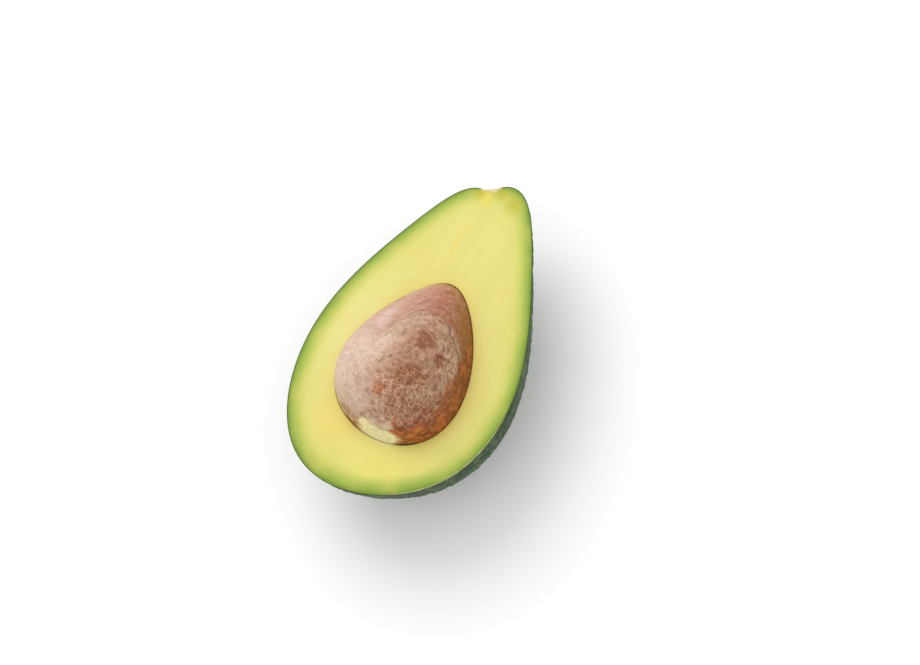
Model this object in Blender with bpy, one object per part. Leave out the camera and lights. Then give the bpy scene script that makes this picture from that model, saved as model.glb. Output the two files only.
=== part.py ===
"""Half of a fresh avocado with its seed, lying on its back with the cut face up.

Three solids: the leathery skin, the flesh with the hollow that the seed sits in, and the seed.
All sizes are in metres. X runs from the blossom end to the stem end, Z points up out of the
cut face, and the origin is at the middle of the small flat spot that the half rests on.
"""

import math

import bmesh
import bpy
import numpy as np
from mathutils import Vector, noise

# The fruit. Shares are of the length, counted from the blossom end.
FRUIT_LENGTH = 0.1115
STATION_SHARES = (0.05, 0.18, 0.36, 0.55, 0.75, 0.94)
HALF_WIDTHS = (0.0194, 0.0316, 0.0361, 0.0332, 0.0244, 0.0127)
DEPTHS = (0.0175, 0.0298, 0.0356, 0.0349, 0.0260, 0.0132)
# Both ends are cut off at a slant: how far a point slides along X for each metre of Y.
BLOSSOM_SLANT = 0.14
BLOSSOM_SLANT_REACH = 0.23
STEM_SLANT = 0.30
STEM_SLANT_REACH = 0.033
# Just below the cut the -Y side swells out past the rim, most near the blossom end.
SWELLING = 0.10

SKIN_THICKNESS = 0.0008
FITTING_GAP = 0.0003

# The half rests here, under its centre of mass: the lowest 0.6 mm of its back is flat.
REST_X = 0.0487
REST_DEPTH = 0.0356

# The dimple that the stem came out of, and the hole it leaves in the skin.
DIMPLE_Y = 0.0041
DIMPLE_DEPTH = 0.0015
DIMPLE_RADIUS = 0.0038
SCAR_RADIUS = 0.0042
SCAR_SIDES = 24

# Rounded bumps all over the skin, like coarse leather. They are lower near the rim and fade
# out on the rest spot. A valley is deepest this share of the spacing away from a bump's top.
PEBBLE_SPACING = 0.0055
PEBBLE_HEIGHT = 0.00060
PEBBLE_VALLEY_SHARE = 0.75
PEBBLE_SHARE_AT_RIM = 0.35
RIM_REACH = 0.0060
WORN_RADIUS = 0.0090
WORN_EDGE = 0.0060

# The seed: an egg with its narrow end towards the stem, its middle just below the cut face.
SEED_CENTRE = Vector((0.0468, 0.0008, -0.0008))
SEED_HALF_LENGTH = 0.0277
SEED_HALF_WIDTH = 0.0208
SEED_HALF_HEIGHT = 0.0205
SEED_TAPER = 0.322
SEED_TAPER_CHANGE = -0.034
SEED_SLANT_BROAD_END = -0.056
SEED_SLANT_NARROW_END = 0.087
# Shallow swellings of the seed coat.
COAT_SPACING = 0.0070
COAT_HEIGHT = 0.00025
# Where the coat has come off the seed, near its broad end: a shallow step down with an
# uneven edge. The edge's width and its unevenness are shares of the patch's reach.
CHIP_CENTRE = Vector((0.0205, -0.0031, 0.0040))
CHIP_REACH = Vector((0.0048, 0.0084, 0.0050))
CHIP_STEP = 0.0004
CHIP_EDGE = 0.25
CHIP_UNEVENNESS = 0.20
CHIP_UNEVEN_SPACING = 0.0030

SURFACE_LEVEL = 4
SKIN_CUTS = 2
SKIN_RIM_CUTS = 1
SMOOTH_RIM_CUTS = 5
SEED_LEVEL = 5
# The inner wall's cutter rises this far past the cut face, and the stem hole's cutter reaches
# this far to either side of the fruit's end.
RIM_CUTTER_REACH = 0.006
SCAR_CUTTER_REACH = 0.012
# Edges that turn by more degrees than this are shaded sharp.
SHARP_ANGLE = 40.0
# A point of the unit ball this close to its middle plane lies in it.
TINY = 1e-4
# A point this close to the plane of a cut counts as lying on it.
CUT_SNAP = 1e-5

SKIN_COLOUR = (0.033, 0.058, 0.027, 1.0)
FLESH_COLOUR = (0.79, 0.76, 0.24, 1.0)
SEED_COLOUR = (0.462, 0.238, 0.156, 1.0)
SKIN_ROUGHNESS = 0.45
FLESH_ROUGHNESS = 0.35
SEED_ROUGHNESS = 0.55


def clear_scene():
    for old in list(bpy.data.objects):
        bpy.data.objects.remove(old, do_unlink=True)


def new_collection(name):
    collection = bpy.data.collections.new(name)
    bpy.context.scene.collection.children.link(collection)
    return collection


def new_material(name, colour, roughness):
    material = bpy.data.materials.new(name)
    material.use_nodes = True
    shader = material.node_tree.nodes["Principled BSDF"]
    shader.inputs["Base Color"].default_value = colour
    shader.inputs["Roughness"].default_value = roughness
    shader.inputs["Metallic"].default_value = 0.0
    return material


def fullness(half_sizes):
    """A smooth curve through the stations: how full the body is against a plain round one."""
    shares = np.array(STATION_SHARES)
    ratios = np.array(half_sizes) / np.sqrt(shares * (1.0 - shares))
    return np.polynomial.Polynomial.fit(shares, ratios, len(shares) - 1)


WIDTH_FULLNESS = fullness(HALF_WIDTHS)
DEPTH_FULLNESS = fullness(DEPTHS)


def fruit_point(unit):
    """The point of the smooth fruit that belongs to a point of the unit ball."""
    share = (1.0 + unit.x) / 2.0
    y = unit.y * WIDTH_FULLNESS(share) / 2.0
    z = unit.z * DEPTH_FULLNESS(share) / 2.0
    below = max(0.0, -unit.z)
    swell = 4.0 * below * (1.0 - below) * max(0.0, -unit.y)
    y *= 1.0 + SWELLING * (1.0 - share) ** 2 * swell
    slant = BLOSSOM_SLANT * math.exp(-share / BLOSSOM_SLANT_REACH)
    slant += STEM_SLANT * math.exp(-(1.0 - share) / STEM_SLANT_REACH)
    x = FRUIT_LENGTH * share - slant * y
    if share > 0.5:
        off_axis = math.hypot(y - DIMPLE_Y, z) / DIMPLE_RADIUS
        x -= DIMPLE_DEPTH * math.exp(-off_axis * off_axis)
    return Vector((x, y, z))


def seed_point(unit):
    """The point of the smooth seed that belongs to a point of the unit ball."""
    fullness_here = 1.0 - SEED_TAPER * unit.x + SEED_TAPER_CHANGE * unit.x**2
    y = SEED_HALF_WIDTH * unit.y * fullness_here
    z = SEED_HALF_HEIGHT * unit.z * fullness_here
    narrow_share = (1.0 + unit.x) / 2.0
    slant = SEED_SLANT_BROAD_END * (1.0 - narrow_share)
    slant += SEED_SLANT_NARROW_END * narrow_share
    x = SEED_HALF_LENGTH * unit.x - slant * y
    return SEED_CENTRE + Vector((x, y, z))


def smooth_step(value):
    value = min(max(value, 0.0), 1.0)
    return value * value * (3.0 - 2.0 * value)


def pebble_depth(point):
    """How far the skin lies below the top of its bumps: most in the valleys between them."""
    distances, _ = noise.voronoi(point / PEBBLE_SPACING)
    valley = smooth_step(distances[0] / PEBBLE_VALLEY_SHARE)
    below_rim = smooth_step(-point.z / RIM_REACH)
    share = PEBBLE_SHARE_AT_RIM + (1.0 - PEBBLE_SHARE_AT_RIM) * below_rim
    from_rest = math.hypot(point.x - REST_X, point.y)
    if point.z < -REST_DEPTH / 2.0:
        share *= smooth_step((from_rest - WORN_RADIUS) / WORN_EDGE)
    return PEBBLE_HEIGHT * share * valley


def coat_depth(point):
    """How far the seed lies below its smooth egg: shallow hollows, and the bare chip."""
    hollow = 0.5 + 0.5 * noise.noise(point / COAT_SPACING)
    offset = point - CHIP_CENTRE
    reach = Vector([a / b for a, b in zip(offset, CHIP_REACH)]).length
    reach += CHIP_UNEVENNESS * noise.noise(point / CHIP_UNEVEN_SPACING)
    chip = smooth_step((1.0 - reach) / CHIP_EDGE)
    return COAT_HEIGHT * hollow + CHIP_STEP * chip


def unit_ball(level, cuts=0, rim_cuts=0):
    """A ball of even triangles with a ring of edges around its middle.

    The rim cuts split that ring again, so that the outline of the cut face is smooth.
    """
    ball = bmesh.new()
    bmesh.ops.create_icosphere(ball, subdivisions=level, radius=1.0)
    if cuts:
        bmesh.ops.subdivide_edges(ball, edges=ball.edges[:], cuts=cuts, use_grid_fill=True)
    if rim_cuts:
        rim = [edge for edge in ball.edges if all(abs(v.co.z) < TINY for v in edge.verts)]
        bmesh.ops.subdivide_edges(ball, edges=rim, cuts=rim_cuts)
    bmesh.ops.triangulate(ball, faces=ball.faces[:])
    for vertex in ball.verts:
        vertex.co.normalize()
    return ball


def shape_surface(ball, place, inset=0.0, relief=None):
    """Places each point of the ball on the body, then sinks it by the inset and the relief."""
    for vertex in ball.verts:
        vertex.co = place(vertex.co)
    ball.normal_update()
    normals = [vertex.normal.copy() for vertex in ball.verts]
    for vertex, normal in zip(ball.verts, normals):
        depth = inset
        if relief:
            depth += relief(vertex.co)
        vertex.co -= normal * depth


def flatten_below(ball, level):
    """Cuts off everything below the level and closes the cut with one flat face."""
    geometry = ball.verts[:] + ball.edges[:] + ball.faces[:]
    cut = bmesh.ops.bisect_plane(
        ball,
        geom=geometry,
        dist=CUT_SNAP,
        plane_co=(0.0, 0.0, level),
        plane_no=(0.0, 0.0, -1.0),
        clear_outer=True,
    )
    edges = [item for item in cut["geom_cut"] if isinstance(item, bmesh.types.BMEdge)]
    for edge in edges:
        for vertex in edge.verts:
            vertex.co.z = level
    bmesh.ops.contextual_create(ball, geom=edges)


def half_fruit(cuts=0, rim_cuts=0, inset=0.0, relief=None):
    """The fruit's surface below the cut face, open at the rim and flat where it rests."""
    ball = unit_ball(SURFACE_LEVEL, cuts, rim_cuts)
    above = [vertex for vertex in ball.verts if vertex.co.z > TINY]
    rim = [vertex for vertex in ball.verts if abs(vertex.co.z) <= TINY]
    shape_surface(ball, fruit_point, inset, relief)
    for vertex in rim:
        vertex.co.z = 0.0
    bmesh.ops.delete(ball, geom=above, context="VERTS")
    flatten_below(ball, inset - REST_DEPTH)
    return ball


def whole_seed(inset=0.0, relief=None):
    ball = unit_ball(SEED_LEVEL)
    shape_surface(ball, seed_point, inset, relief)
    return ball


def close_rim(ball, raised=0.0):
    """Closes the open rim with a flat face, after walls that rise straight up from it."""
    rim = [edge for edge in ball.edges if edge.is_boundary]
    if raised:
        grown = bmesh.ops.extrude_edge_only(ball, edges=rim)["geom"]
        for vertex in grown:
            if isinstance(vertex, bmesh.types.BMVert):
                vertex.co.z += raised
        rim = [edge for edge in ball.edges if edge.is_boundary]
    bmesh.ops.contextual_create(ball, geom=rim)
    ball.normal_update()
    bmesh.ops.recalc_face_normals(ball, faces=ball.faces[:])


def add_object(name, ball, collection, material=None):
    """Makes the object, placed so that the rest spot's middle is the scene's origin."""
    mesh = bpy.data.meshes.new(name)
    ball.to_mesh(mesh)
    ball.free()
    mesh.shade_smooth()
    mesh.set_sharp_from_angle(angle=math.radians(SHARP_ANGLE))
    made = bpy.data.objects.new(name, mesh)
    made.location = (-REST_X, 0.0, REST_DEPTH)
    collection.objects.link(made)
    if material:
        mesh.materials.append(material)
    return made


def add_cutter(name, ball):
    cutter = add_object(name, ball, cutters)
    cutter.hide_render = True
    cutter.display_type = "WIRE"
    return cutter


def cut_away(body, cutter):
    difference = body.modifiers.new("cut " + cutter.name, "BOOLEAN")
    difference.operation = "DIFFERENCE"
    difference.solver = "EXACT"
    difference.object = cutter


clear_scene()
avocado = new_collection("avocado")
cutters = new_collection("cutters")
cutters.hide_render = True

# Skin: the pebbled outside, hollowed by the smooth inner wall.
outside = half_fruit(SKIN_CUTS, SKIN_RIM_CUTS, relief=pebble_depth)
close_rim(outside)
skin = add_object("skin", outside, avocado, new_material("skin", SKIN_COLOUR, SKIN_ROUGHNESS))

inner_wall = half_fruit(rim_cuts=SMOOTH_RIM_CUTS, inset=SKIN_THICKNESS)
close_rim(inner_wall, raised=RIM_CUTTER_REACH)
cut_away(skin, add_cutter("skin_inner_wall", inner_wall))

stem_hole = bmesh.new()
bmesh.ops.create_cone(
    stem_hole,
    cap_ends=True,
    segments=SCAR_SIDES,
    radius1=SCAR_RADIUS,
    radius2=SCAR_RADIUS,
    depth=2.0 * SCAR_CUTTER_REACH,
)
for corner in stem_hole.verts:
    corner.co = Vector((corner.co.z + FRUIT_LENGTH, corner.co.x + DIMPLE_Y, corner.co.y))
stem_hole.normal_update()
cut_away(skin, add_cutter("stem_scar", stem_hole))

# Flesh: fills the skin up to the cut face, with a hollow for the seed.
flesh_body = half_fruit(rim_cuts=SMOOTH_RIM_CUTS, inset=SKIN_THICKNESS + FITTING_GAP)
close_rim(flesh_body)
flesh = add_object("flesh", flesh_body, avocado, new_material("flesh", FLESH_COLOUR, FLESH_ROUGHNESS))

hollow = whole_seed(inset=-FITTING_GAP)
cut_away(flesh, add_cutter("seed_hollow", hollow))

# Seed: an egg under a thin papery coat.
egg = whole_seed(relief=coat_depth)
seed = add_object("seed", egg, avocado, new_material("seed", SEED_COLOUR, SEED_ROUGHNESS))
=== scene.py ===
"""The halved avocado's looks: pebbled green skin, moist cut flesh and a seed in its papery coat.

The fine surfaces follow the same fruit and seed as the solid model. Lengths are in metres and
angles in degrees unless a name says otherwise. X runs from the blossom end to the stem end.
"""

import math

import bmesh
import bpy
import numpy as np
from mathutils import Matrix, Vector


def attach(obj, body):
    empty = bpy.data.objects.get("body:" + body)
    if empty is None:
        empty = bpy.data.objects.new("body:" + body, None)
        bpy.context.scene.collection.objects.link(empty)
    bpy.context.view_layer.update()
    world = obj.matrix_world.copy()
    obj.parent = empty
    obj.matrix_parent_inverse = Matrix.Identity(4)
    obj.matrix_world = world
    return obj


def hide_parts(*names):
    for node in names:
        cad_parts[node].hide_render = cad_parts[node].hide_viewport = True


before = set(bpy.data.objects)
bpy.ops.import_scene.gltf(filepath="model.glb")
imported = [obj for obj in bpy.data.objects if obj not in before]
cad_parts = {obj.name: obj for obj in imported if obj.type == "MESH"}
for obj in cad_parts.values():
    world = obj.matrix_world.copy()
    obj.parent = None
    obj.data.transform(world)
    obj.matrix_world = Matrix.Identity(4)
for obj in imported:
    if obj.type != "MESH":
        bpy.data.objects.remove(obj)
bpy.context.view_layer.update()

MM = 0.001

# The fruit's shape, as in the solid model.
FRUIT_LENGTH = 0.1115
STATION_SHARES = (0.05, 0.18, 0.36, 0.55, 0.75, 0.94)
HALF_WIDTHS = (0.0194, 0.0316, 0.0361, 0.0332, 0.0244, 0.0127)
DEPTHS = (0.0175, 0.0298, 0.0356, 0.0349, 0.0260, 0.0132)
BLOSSOM_SLANT = 0.14
BLOSSOM_SLANT_REACH = 0.23
STEM_SLANT = 0.30
STEM_SLANT_REACH = 0.033
SWELLING = 0.10
REST_X = 0.0487
REST_DEPTH = 0.0356
DIMPLE_Y = 0.0041
DIMPLE_DEPTH = 0.0015
DIMPLE_RADIUS = 0.0038
SKIN_THICKNESS = 0.0008

# The seed's shape, as in the solid model.
SEED_CENTRE = (0.0468, 0.0008, -0.0008)
SEED_HALF_SIZES = (0.0277, 0.0208, 0.0205)
SEED_TAPER = 0.322
SEED_TAPER_CHANGE = -0.034
SEED_SLANT_BROAD_END = -0.056
SEED_SLANT_NARROW_END = 0.087

# The outer skin starts this far inside the solid model's, so that no bump stands out of it.
OUTER_INSET = 0.00012
# The skin's relief stays shallower than the skin is thick, in millimetres.
DEEPEST_RELIEF = -0.60

# The skin's relief has this share at the cut, and its full height this far below it.
RELIEF_AT_CUT = 0.35
FULL_RELIEF_DEPTH = 0.0012
# The skin's cut edge: rings between its outer and inner wall, each with its share of the way
# and its depth below the cut face. The outer wall ends a little lower, as a small rounding.
EDGE_RINGS = ((0.12, 0.00004), (0.30, 0.0), (0.65, 0.0))
OUTER_EDGE_DROP = 0.00016

# The gaps between skin and flesh, and between flesh and seed.
FLESH_GAP = 0.00003
SEED_GAP = 0.00006
# The lip of the flesh's hollow: how far outwards the face ends, where its rounding lies, and
# how far below the face the hollow's own wall starts.
LIP_WIDTH = 0.00025
ROUNDING_WIDTH = 0.00006
ROUNDING_DROP = 0.0001
HOLLOW_DROP = 0.0004
# The seed's relief is full from this share of its half height upwards.
SEED_FULL_RELIEF = 0.12

# How finely the surfaces are divided: each level halves the edges.
FINE_LEVEL = 8
COARSE_LEVEL = 6
# The cut face's rings. They lie closer together near the skin the higher this power is.
FACE_RINGS = 90
FACE_RING_POWER = 1.35
# Edges sharper than this are shaded as edges.
SHARP_ANGLE = 35.0
# How many points are measured at once, to spare memory.
POINTS_AT_ONCE = 4000

# Browner and paler patches of the seed's film: the centre and reach in millimetres of the
# fruit, how strong the patch is, and its colour.
BROWN = (0.215, 0.075, 0.024, 1)
RED_BROWN = (0.190, 0.045, 0.014, 1)
ORANGE = (0.420, 0.140, 0.050, 1)
VEIL = (0.480, 0.320, 0.235, 1)
PALE = (0.680, 0.520, 0.420, 1)
WHITISH = (0.760, 0.620, 0.400, 1)
FILM_PATCHES = (
    ((43.3, 8.0, 19.1), 9.0, 0.7, PALE),
    ((57.3, -0.8, 15.7), 5.5, 0.6, VEIL),
    ((50.2, 4.1, 18.4), 5.5, 0.5, VEIL),
    ((28.0, -1.6, 17.2), 5.0, 0.6, VEIL),
    ((26.5, 5.0, 14.5), 6.0, 0.5, PALE),
    ((52.0, -6.1, 16.9), 5.0, 0.8, BROWN),
    ((48.2, -13.0, 14.2), 4.2, 0.9, RED_BROWN),
    ((39.3, -8.9, 18.3), 6.5, 0.8, BROWN),
    ((37.0, -5.5, 19.6), 4.8, 0.8, BROWN),
    ((31.1, -0.6, 19.0), 3.0, 0.8, ORANGE),
    ((28.9, -9.5, 15.1), 7.5, 0.3, RED_BROWN),
    ((33.0, -15.0, 13.0), 5.5, 0.4, RED_BROWN),
    ((22.6, -4.5, 10.5), 5.0, 0.6, VEIL),
    ((21.4, -0.4, 9.8), 4.0, 0.85, WHITISH),
    ((22.3, -5.6, 9.9), 3.4, 0.6, WHITISH),
)

# Olive patches of the flesh beside the stem's scar: centre and reach in millimetres.
OLIVE_PATCHES = (
    ((105.6, 6.6, 0.0), (3.2, 3.2, 4.0)),
    ((108.3, -0.9, 0.0), (3.4, 4.0, 4.0)),
    ((106.3, -5.6, 0.0), (5.4, 5.6, 4.0)),
)
# Redder places of the seed's bare coat, in millimetres.
REDDER_PLACES = ((46.1, -18.3, 7.6), (36.5, -18.8, 7.8))

# The photograph's frame. The sight point, near the middle of the cut face, is seen at the
# sight pixel.
IMAGE_WIDTH = 920
MM_PER_PIXEL = 0.31765
CAMERA_DISTANCE = 1.5
SENSOR_WIDTH = 36.0
SIGHT_POINT = Vector((0.0490 - REST_X, 0.0005, REST_DEPTH))
SIGHT_PIXEL = (415.0, 355.0)
IMAGE_CENTRE = (460.0, 332.5)
PICTURE_RIGHT = Vector((0.4535, -0.8653, -0.2138))
PICTURE_UP = Vector((0.8720, 0.3810, 0.3076))
TO_CAMERA = Vector((-0.1847, -0.3259, 0.9272))
CLIP_NEAR = 0.05
CLIP_FAR = 20.0

# The light: a white room, and a soft lamp above and to the left in the picture.
WORLD_STRENGTH = 0.92
KEY_DIRECTION = 0.6 * TO_CAMERA + PICTURE_UP - 0.5 * PICTURE_RIGHT
KEY_DISTANCE = 1.0
KEY_SIZE = 0.9
KEY_POWER = 4.2
FLOOR_HALF_SIZE = 4.0


def ball(level):
    """Points and triangles of a unit ball of even triangles, with a ring in its middle plane."""
    made = bmesh.new()
    bmesh.ops.create_icosphere(made, subdivisions=level, radius=1.0)
    mesh = bpy.data.meshes.new("ball")
    made.to_mesh(mesh)
    made.free()
    points = np.empty(3 * len(mesh.vertices), np.float32)
    mesh.vertices.foreach_get("co", points)
    corners = np.empty(len(mesh.loops), np.int32)
    mesh.loops.foreach_get("vertex_index", corners)
    bpy.data.meshes.remove(mesh)
    points = points.reshape(-1, 3).astype(float)
    points[np.abs(points[:, 2]) < 1e-4, 2] = 0.0
    return points, corners.reshape(-1, 3)


def half_ball(level, side):
    """The half of the unit ball above (side 1) or below (side -1) its middle plane."""
    points, triangles = ball(level)
    keep = (side * points[triangles, 2] >= 0.0).all(axis=1)
    triangles = triangles[keep]
    used, triangles = np.unique(triangles, return_inverse=True)
    return points[used], triangles.reshape(-1, 3)


def rim_of(points):
    """The points of a half ball's rim, in order of their angle."""
    rim = np.flatnonzero(points[:, 2] == 0.0)
    return rim[np.argsort(np.arctan2(points[rim, 1], points[rim, 0]))]


def coarse_bowl(ring):
    """A coarse lower half ball whose rim is the given fine ring of points.

    Returns its points, its triangles, and the rim's own indices in the ring's order.
    """
    points, triangles = half_ball(COARSE_LEVEL, -1)
    old_rim = rim_of(points)
    per_edge = len(ring) // len(old_rim)
    place_in_rim = np.full(len(points), -1)
    place_in_rim[old_rim] = np.arange(len(old_rim))
    first_new = len(points)
    points = np.vstack([points, ring])
    new_rim = np.arange(first_new, len(points))
    start = int(np.argmin(np.linalg.norm(ring - points[old_rim[0]], axis=1)))
    in_ring = (start + per_edge * np.arange(len(old_rim))) % len(ring)
    made = []
    for triangle in triangles:
        places = place_in_rim[triangle]
        on_rim = places >= 0
        fixed = [
            int(new_rim[in_ring[p]]) if p >= 0 else int(v) for p, v in zip(places, triangle)
        ]
        if on_rim.sum() < 2:
            made.append(fixed)
            continue
        tip = int(np.flatnonzero(~on_rim)[0])
        before, after = places[(tip + 1) % 3], places[(tip + 2) % 3]
        step = 1 if (after - before) % len(old_rim) == 1 else -1
        walk = [(in_ring[before] + step * k) % len(ring) for k in range(per_edge + 1)]
        for a, b in zip(walk[:-1], walk[1:]):
            made.append([fixed[tip], int(new_rim[a]), int(new_rim[b])])
    # The coarse rim's own points are in no triangle any more.
    used = np.concatenate([place_in_rim < 0, np.ones(len(ring), bool)])
    renamed = np.cumsum(used) - 1
    return points[used], renamed[np.array(made)], renamed[new_rim]


def strip(first, second):
    """Triangles between two rings of indices of the same length.

    The second ring lies inside the first, seen from the side that the triangles face.
    """
    first, second = np.asarray(first), np.asarray(second)
    first_next, second_next = np.roll(first, -1), np.roll(second, -1)
    return np.vstack(
        [
            np.stack([first, first_next, second], 1),
            np.stack([first_next, second_next, second], 1),
        ]
    )


def normals_of(points, triangles):
    """The smooth normal at each point."""
    a, b, c = (points[triangles[:, k]] for k in range(3))
    flat = np.cross(b - a, c - a)
    total = np.zeros_like(points)
    for axis in range(3):
        for k in range(3):
            total[:, axis] += np.bincount(
                triangles[:, k], weights=flat[:, axis], minlength=len(points)
            )
    return total / np.maximum(np.linalg.norm(total, axis=1), 1e-20)[:, None]


def fullness(half_sizes):
    """How full the fruit is against an even ball, as a function of the share of its length."""
    shares = np.array(STATION_SHARES)
    ratios = np.array(half_sizes) / np.sqrt(shares * (1.0 - shares))
    return np.polynomial.Polynomial.fit(shares, ratios, len(shares) - 1)


WIDTH_FULLNESS = fullness(HALF_WIDTHS)
DEPTH_FULLNESS = fullness(DEPTHS)


def on_fruit(unit):
    """The points of the smooth fruit that belong to points of the unit ball."""
    share = (1.0 + unit[:, 0]) / 2.0
    y = unit[:, 1] * WIDTH_FULLNESS(share) / 2.0
    z = unit[:, 2] * DEPTH_FULLNESS(share) / 2.0
    below = np.maximum(0.0, -unit[:, 2])
    swell = 4.0 * below * (1.0 - below) * np.maximum(0.0, -unit[:, 1])
    y *= 1.0 + SWELLING * (1.0 - share) ** 2 * swell
    slant = BLOSSOM_SLANT * np.exp(-share / BLOSSOM_SLANT_REACH)
    slant += STEM_SLANT * np.exp(-(1.0 - share) / STEM_SLANT_REACH)
    x = FRUIT_LENGTH * share - slant * y
    off_axis = np.hypot(y - DIMPLE_Y, z) / DIMPLE_RADIUS
    x -= (share > 0.5) * DIMPLE_DEPTH * np.exp(-off_axis * off_axis)
    return np.stack([x, y, z], 1)


def on_seed(unit):
    """The points of the smooth seed that belong to points of the unit ball."""
    fullness_here = 1.0 - SEED_TAPER * unit[:, 0] + SEED_TAPER_CHANGE * unit[:, 0] ** 2
    y = SEED_HALF_SIZES[1] * unit[:, 1] * fullness_here
    z = SEED_HALF_SIZES[2] * unit[:, 2] * fullness_here
    narrow_share = (1.0 + unit[:, 0]) / 2.0
    slant = SEED_SLANT_BROAD_END * (1.0 - narrow_share) + SEED_SLANT_NARROW_END * narrow_share
    x = SEED_HALF_SIZES[0] * unit[:, 0] - slant * y
    return np.stack([x, y, z], 1) + np.array(SEED_CENTRE)


def sunk(place, unit, triangles, inset):
    """The body's points for these of the unit ball, moved inwards by the inset."""
    points = place(unit)
    normals = normals_of(points, triangles)
    rim = unit[:, 2] == 0.0
    normals[rim, 2] = 0.0
    normals[rim] /= np.linalg.norm(normals[rim], axis=1)[:, None]
    return points - inset * normals


def to_frame(points):
    """The fruit's points in the model's frame."""
    return points + np.array([-REST_X, 0.0, REST_DEPTH])


def nearest(points, line):
    """How far each point is, seen from above, from the closest of the line's points."""
    found = np.empty(len(points))
    for start in range(0, len(points), POINTS_AT_ONCE):
        some = slice(start, start + POINTS_AT_ONCE)
        away = points[some, None, :2] - line[None, :, :2]
        found[some] = np.sqrt((away**2).sum(-1).min(1))
    return found


def make_object(name, points, triangles, numbers):
    """An object of these triangles, with a named number at each point for its material."""
    mesh = bpy.data.meshes.new(name)
    mesh.from_pydata(to_frame(points).tolist(), [], triangles.tolist())
    for key, values in numbers.items():
        attribute = mesh.attributes.new(key, "FLOAT", "POINT")
        attribute.data.foreach_set("value", np.asarray(values, np.float32))
    mesh.shade_smooth()
    mesh.set_sharp_from_angle(angle=math.radians(SHARP_ANGLE))
    made = bpy.data.objects.new(name, mesh)
    bpy.context.scene.collection.objects.link(made)
    return made


def add_node(tree, kind, inputs=None, **settings):
    """A node with its settings, and its inputs set to numbers or linked to sockets."""
    made = tree.nodes.new(kind)
    for name, value in settings.items():
        setattr(made, name, value)
    for name, value in (inputs or {}).items():
        if isinstance(value, bpy.types.NodeSocket):
            tree.links.new(value, made.inputs[name])
        else:
            made.inputs[name].default_value = value
    return made


def calculate(tree, operation, first, second=0.0, *others):
    """An operation on two values, and then on its result and each of the others in turn."""
    inputs = {0: first, 1: second}
    result = add_node(tree, "ShaderNodeMath", inputs, operation=operation).outputs[0]
    for other in others:
        result = calculate(tree, operation, result, other)
    return result


def multiply(tree, *values):
    return calculate(tree, "MULTIPLY", *values)


def add(tree, *values):
    return calculate(tree, "ADD", *values)


def subtract(tree, first, second):
    return calculate(tree, "SUBTRACT", first, second)


def highest(tree, *values):
    return calculate(tree, "MAXIMUM", *values)


def magnitude(tree, value):
    return calculate(tree, "ABSOLUTE", value)


def mapped(tree, value, start, end, low=0.0, high=1.0, kind="LINEAR"):
    """Goes evenly from low to high while the value goes from start to end."""
    inputs = {"Value": value, "From Min": start, "From Max": end, "To Min": low, "To Max": high}
    made = add_node(tree, "ShaderNodeMapRange", inputs, interpolation_type=kind)
    return made.outputs["Result"]


def eased(tree, value, start, end, low=0.0, high=1.0):
    """Goes smoothly from low to high while the value goes from start to end."""
    return mapped(tree, value, start, end, low, high, "SMOOTHSTEP")


def blended(tree, share, first, second, kind="MIX"):
    """A colour between two others, or one laid over another."""
    inputs = {0: share, 6: first, 7: second}
    made = add_node(tree, "ShaderNodeMix", inputs, data_type="RGBA", blend_type=kind)
    return made.outputs[2]


def stretched(tree, vector, factors, offset=(0.0, 0.0, 0.0)):
    """The vector times a factor along X, Y and Z, and then moved by the offset."""
    inputs = {0: vector, 1: factors, 2: offset}
    made = add_node(tree, "ShaderNodeVectorMath", inputs, operation="MULTIPLY_ADD")
    return made.outputs[0]


def shifted(tree, vector, x, y, z):
    return stretched(tree, vector, (1.0, 1.0, 1.0), (x, y, z))


def combined(tree, x, y, z):
    """The vector with these three parts."""
    return add_node(tree, "ShaderNodeCombineXYZ", {0: x, 1: y, 2: z}).outputs[0]


def parts_of(tree, vector):
    """The vector's X, Y and Z."""
    return add_node(tree, "ShaderNodeSeparateXYZ", {0: vector}).outputs


def noise(tree, vector, size, detail=2.0, roughness=0.5):
    """Soft random values around 0.5. The size is in the vector's own unit."""
    inputs = {"Vector": vector, "Scale": 1.0 / size, "Detail": detail, "Roughness": roughness}
    return add_node(tree, "ShaderNodeTexNoise", inputs).outputs["Fac"]


def warped(tree, vector, size, amount):
    """The vector, pushed at random by 0 to the amount, and by half the amount on average."""
    inputs = {"Vector": vector, "Scale": 1.0 / size, "Detail": 1.0}
    push = add_node(tree, "ShaderNodeTexNoise", inputs).outputs["Color"]
    return stretched(tree, push, (amount,) * 3, vector)


def cells(tree, vector, size, feature="F1"):
    """How far the nearest of many random points is, or the nearest edge between their cells."""
    inputs = {"Vector": vector, "Scale": 1.0 / size}
    made = add_node(tree, "ShaderNodeTexVoronoi", inputs, feature=feature)
    return made.outputs["Distance"]


def in_mm(tree, vector):
    return stretched(tree, vector, (1.0 / MM,) * 3)


def ramp(tree, value, stops):
    """The colour that belongs to a value, by stops of (value, red, green, blue)."""
    first, last = stops[0][0], stops[-1][0]
    made = tree.nodes.new("ShaderNodeValToRGB")
    made.color_ramp.interpolation = "B_SPLINE"
    elements = made.color_ramp.elements
    for index, (at, red, green, blue) in enumerate(stops):
        place = (at - first) / (last - first)
        stop = elements[index] if index < 2 else elements.new(place)
        stop.position = place
        stop.color = (red, green, blue, 1.0)
    tree.links.new(mapped(tree, value, first, last), made.inputs["Fac"])
    return made.outputs["Color"]


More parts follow.
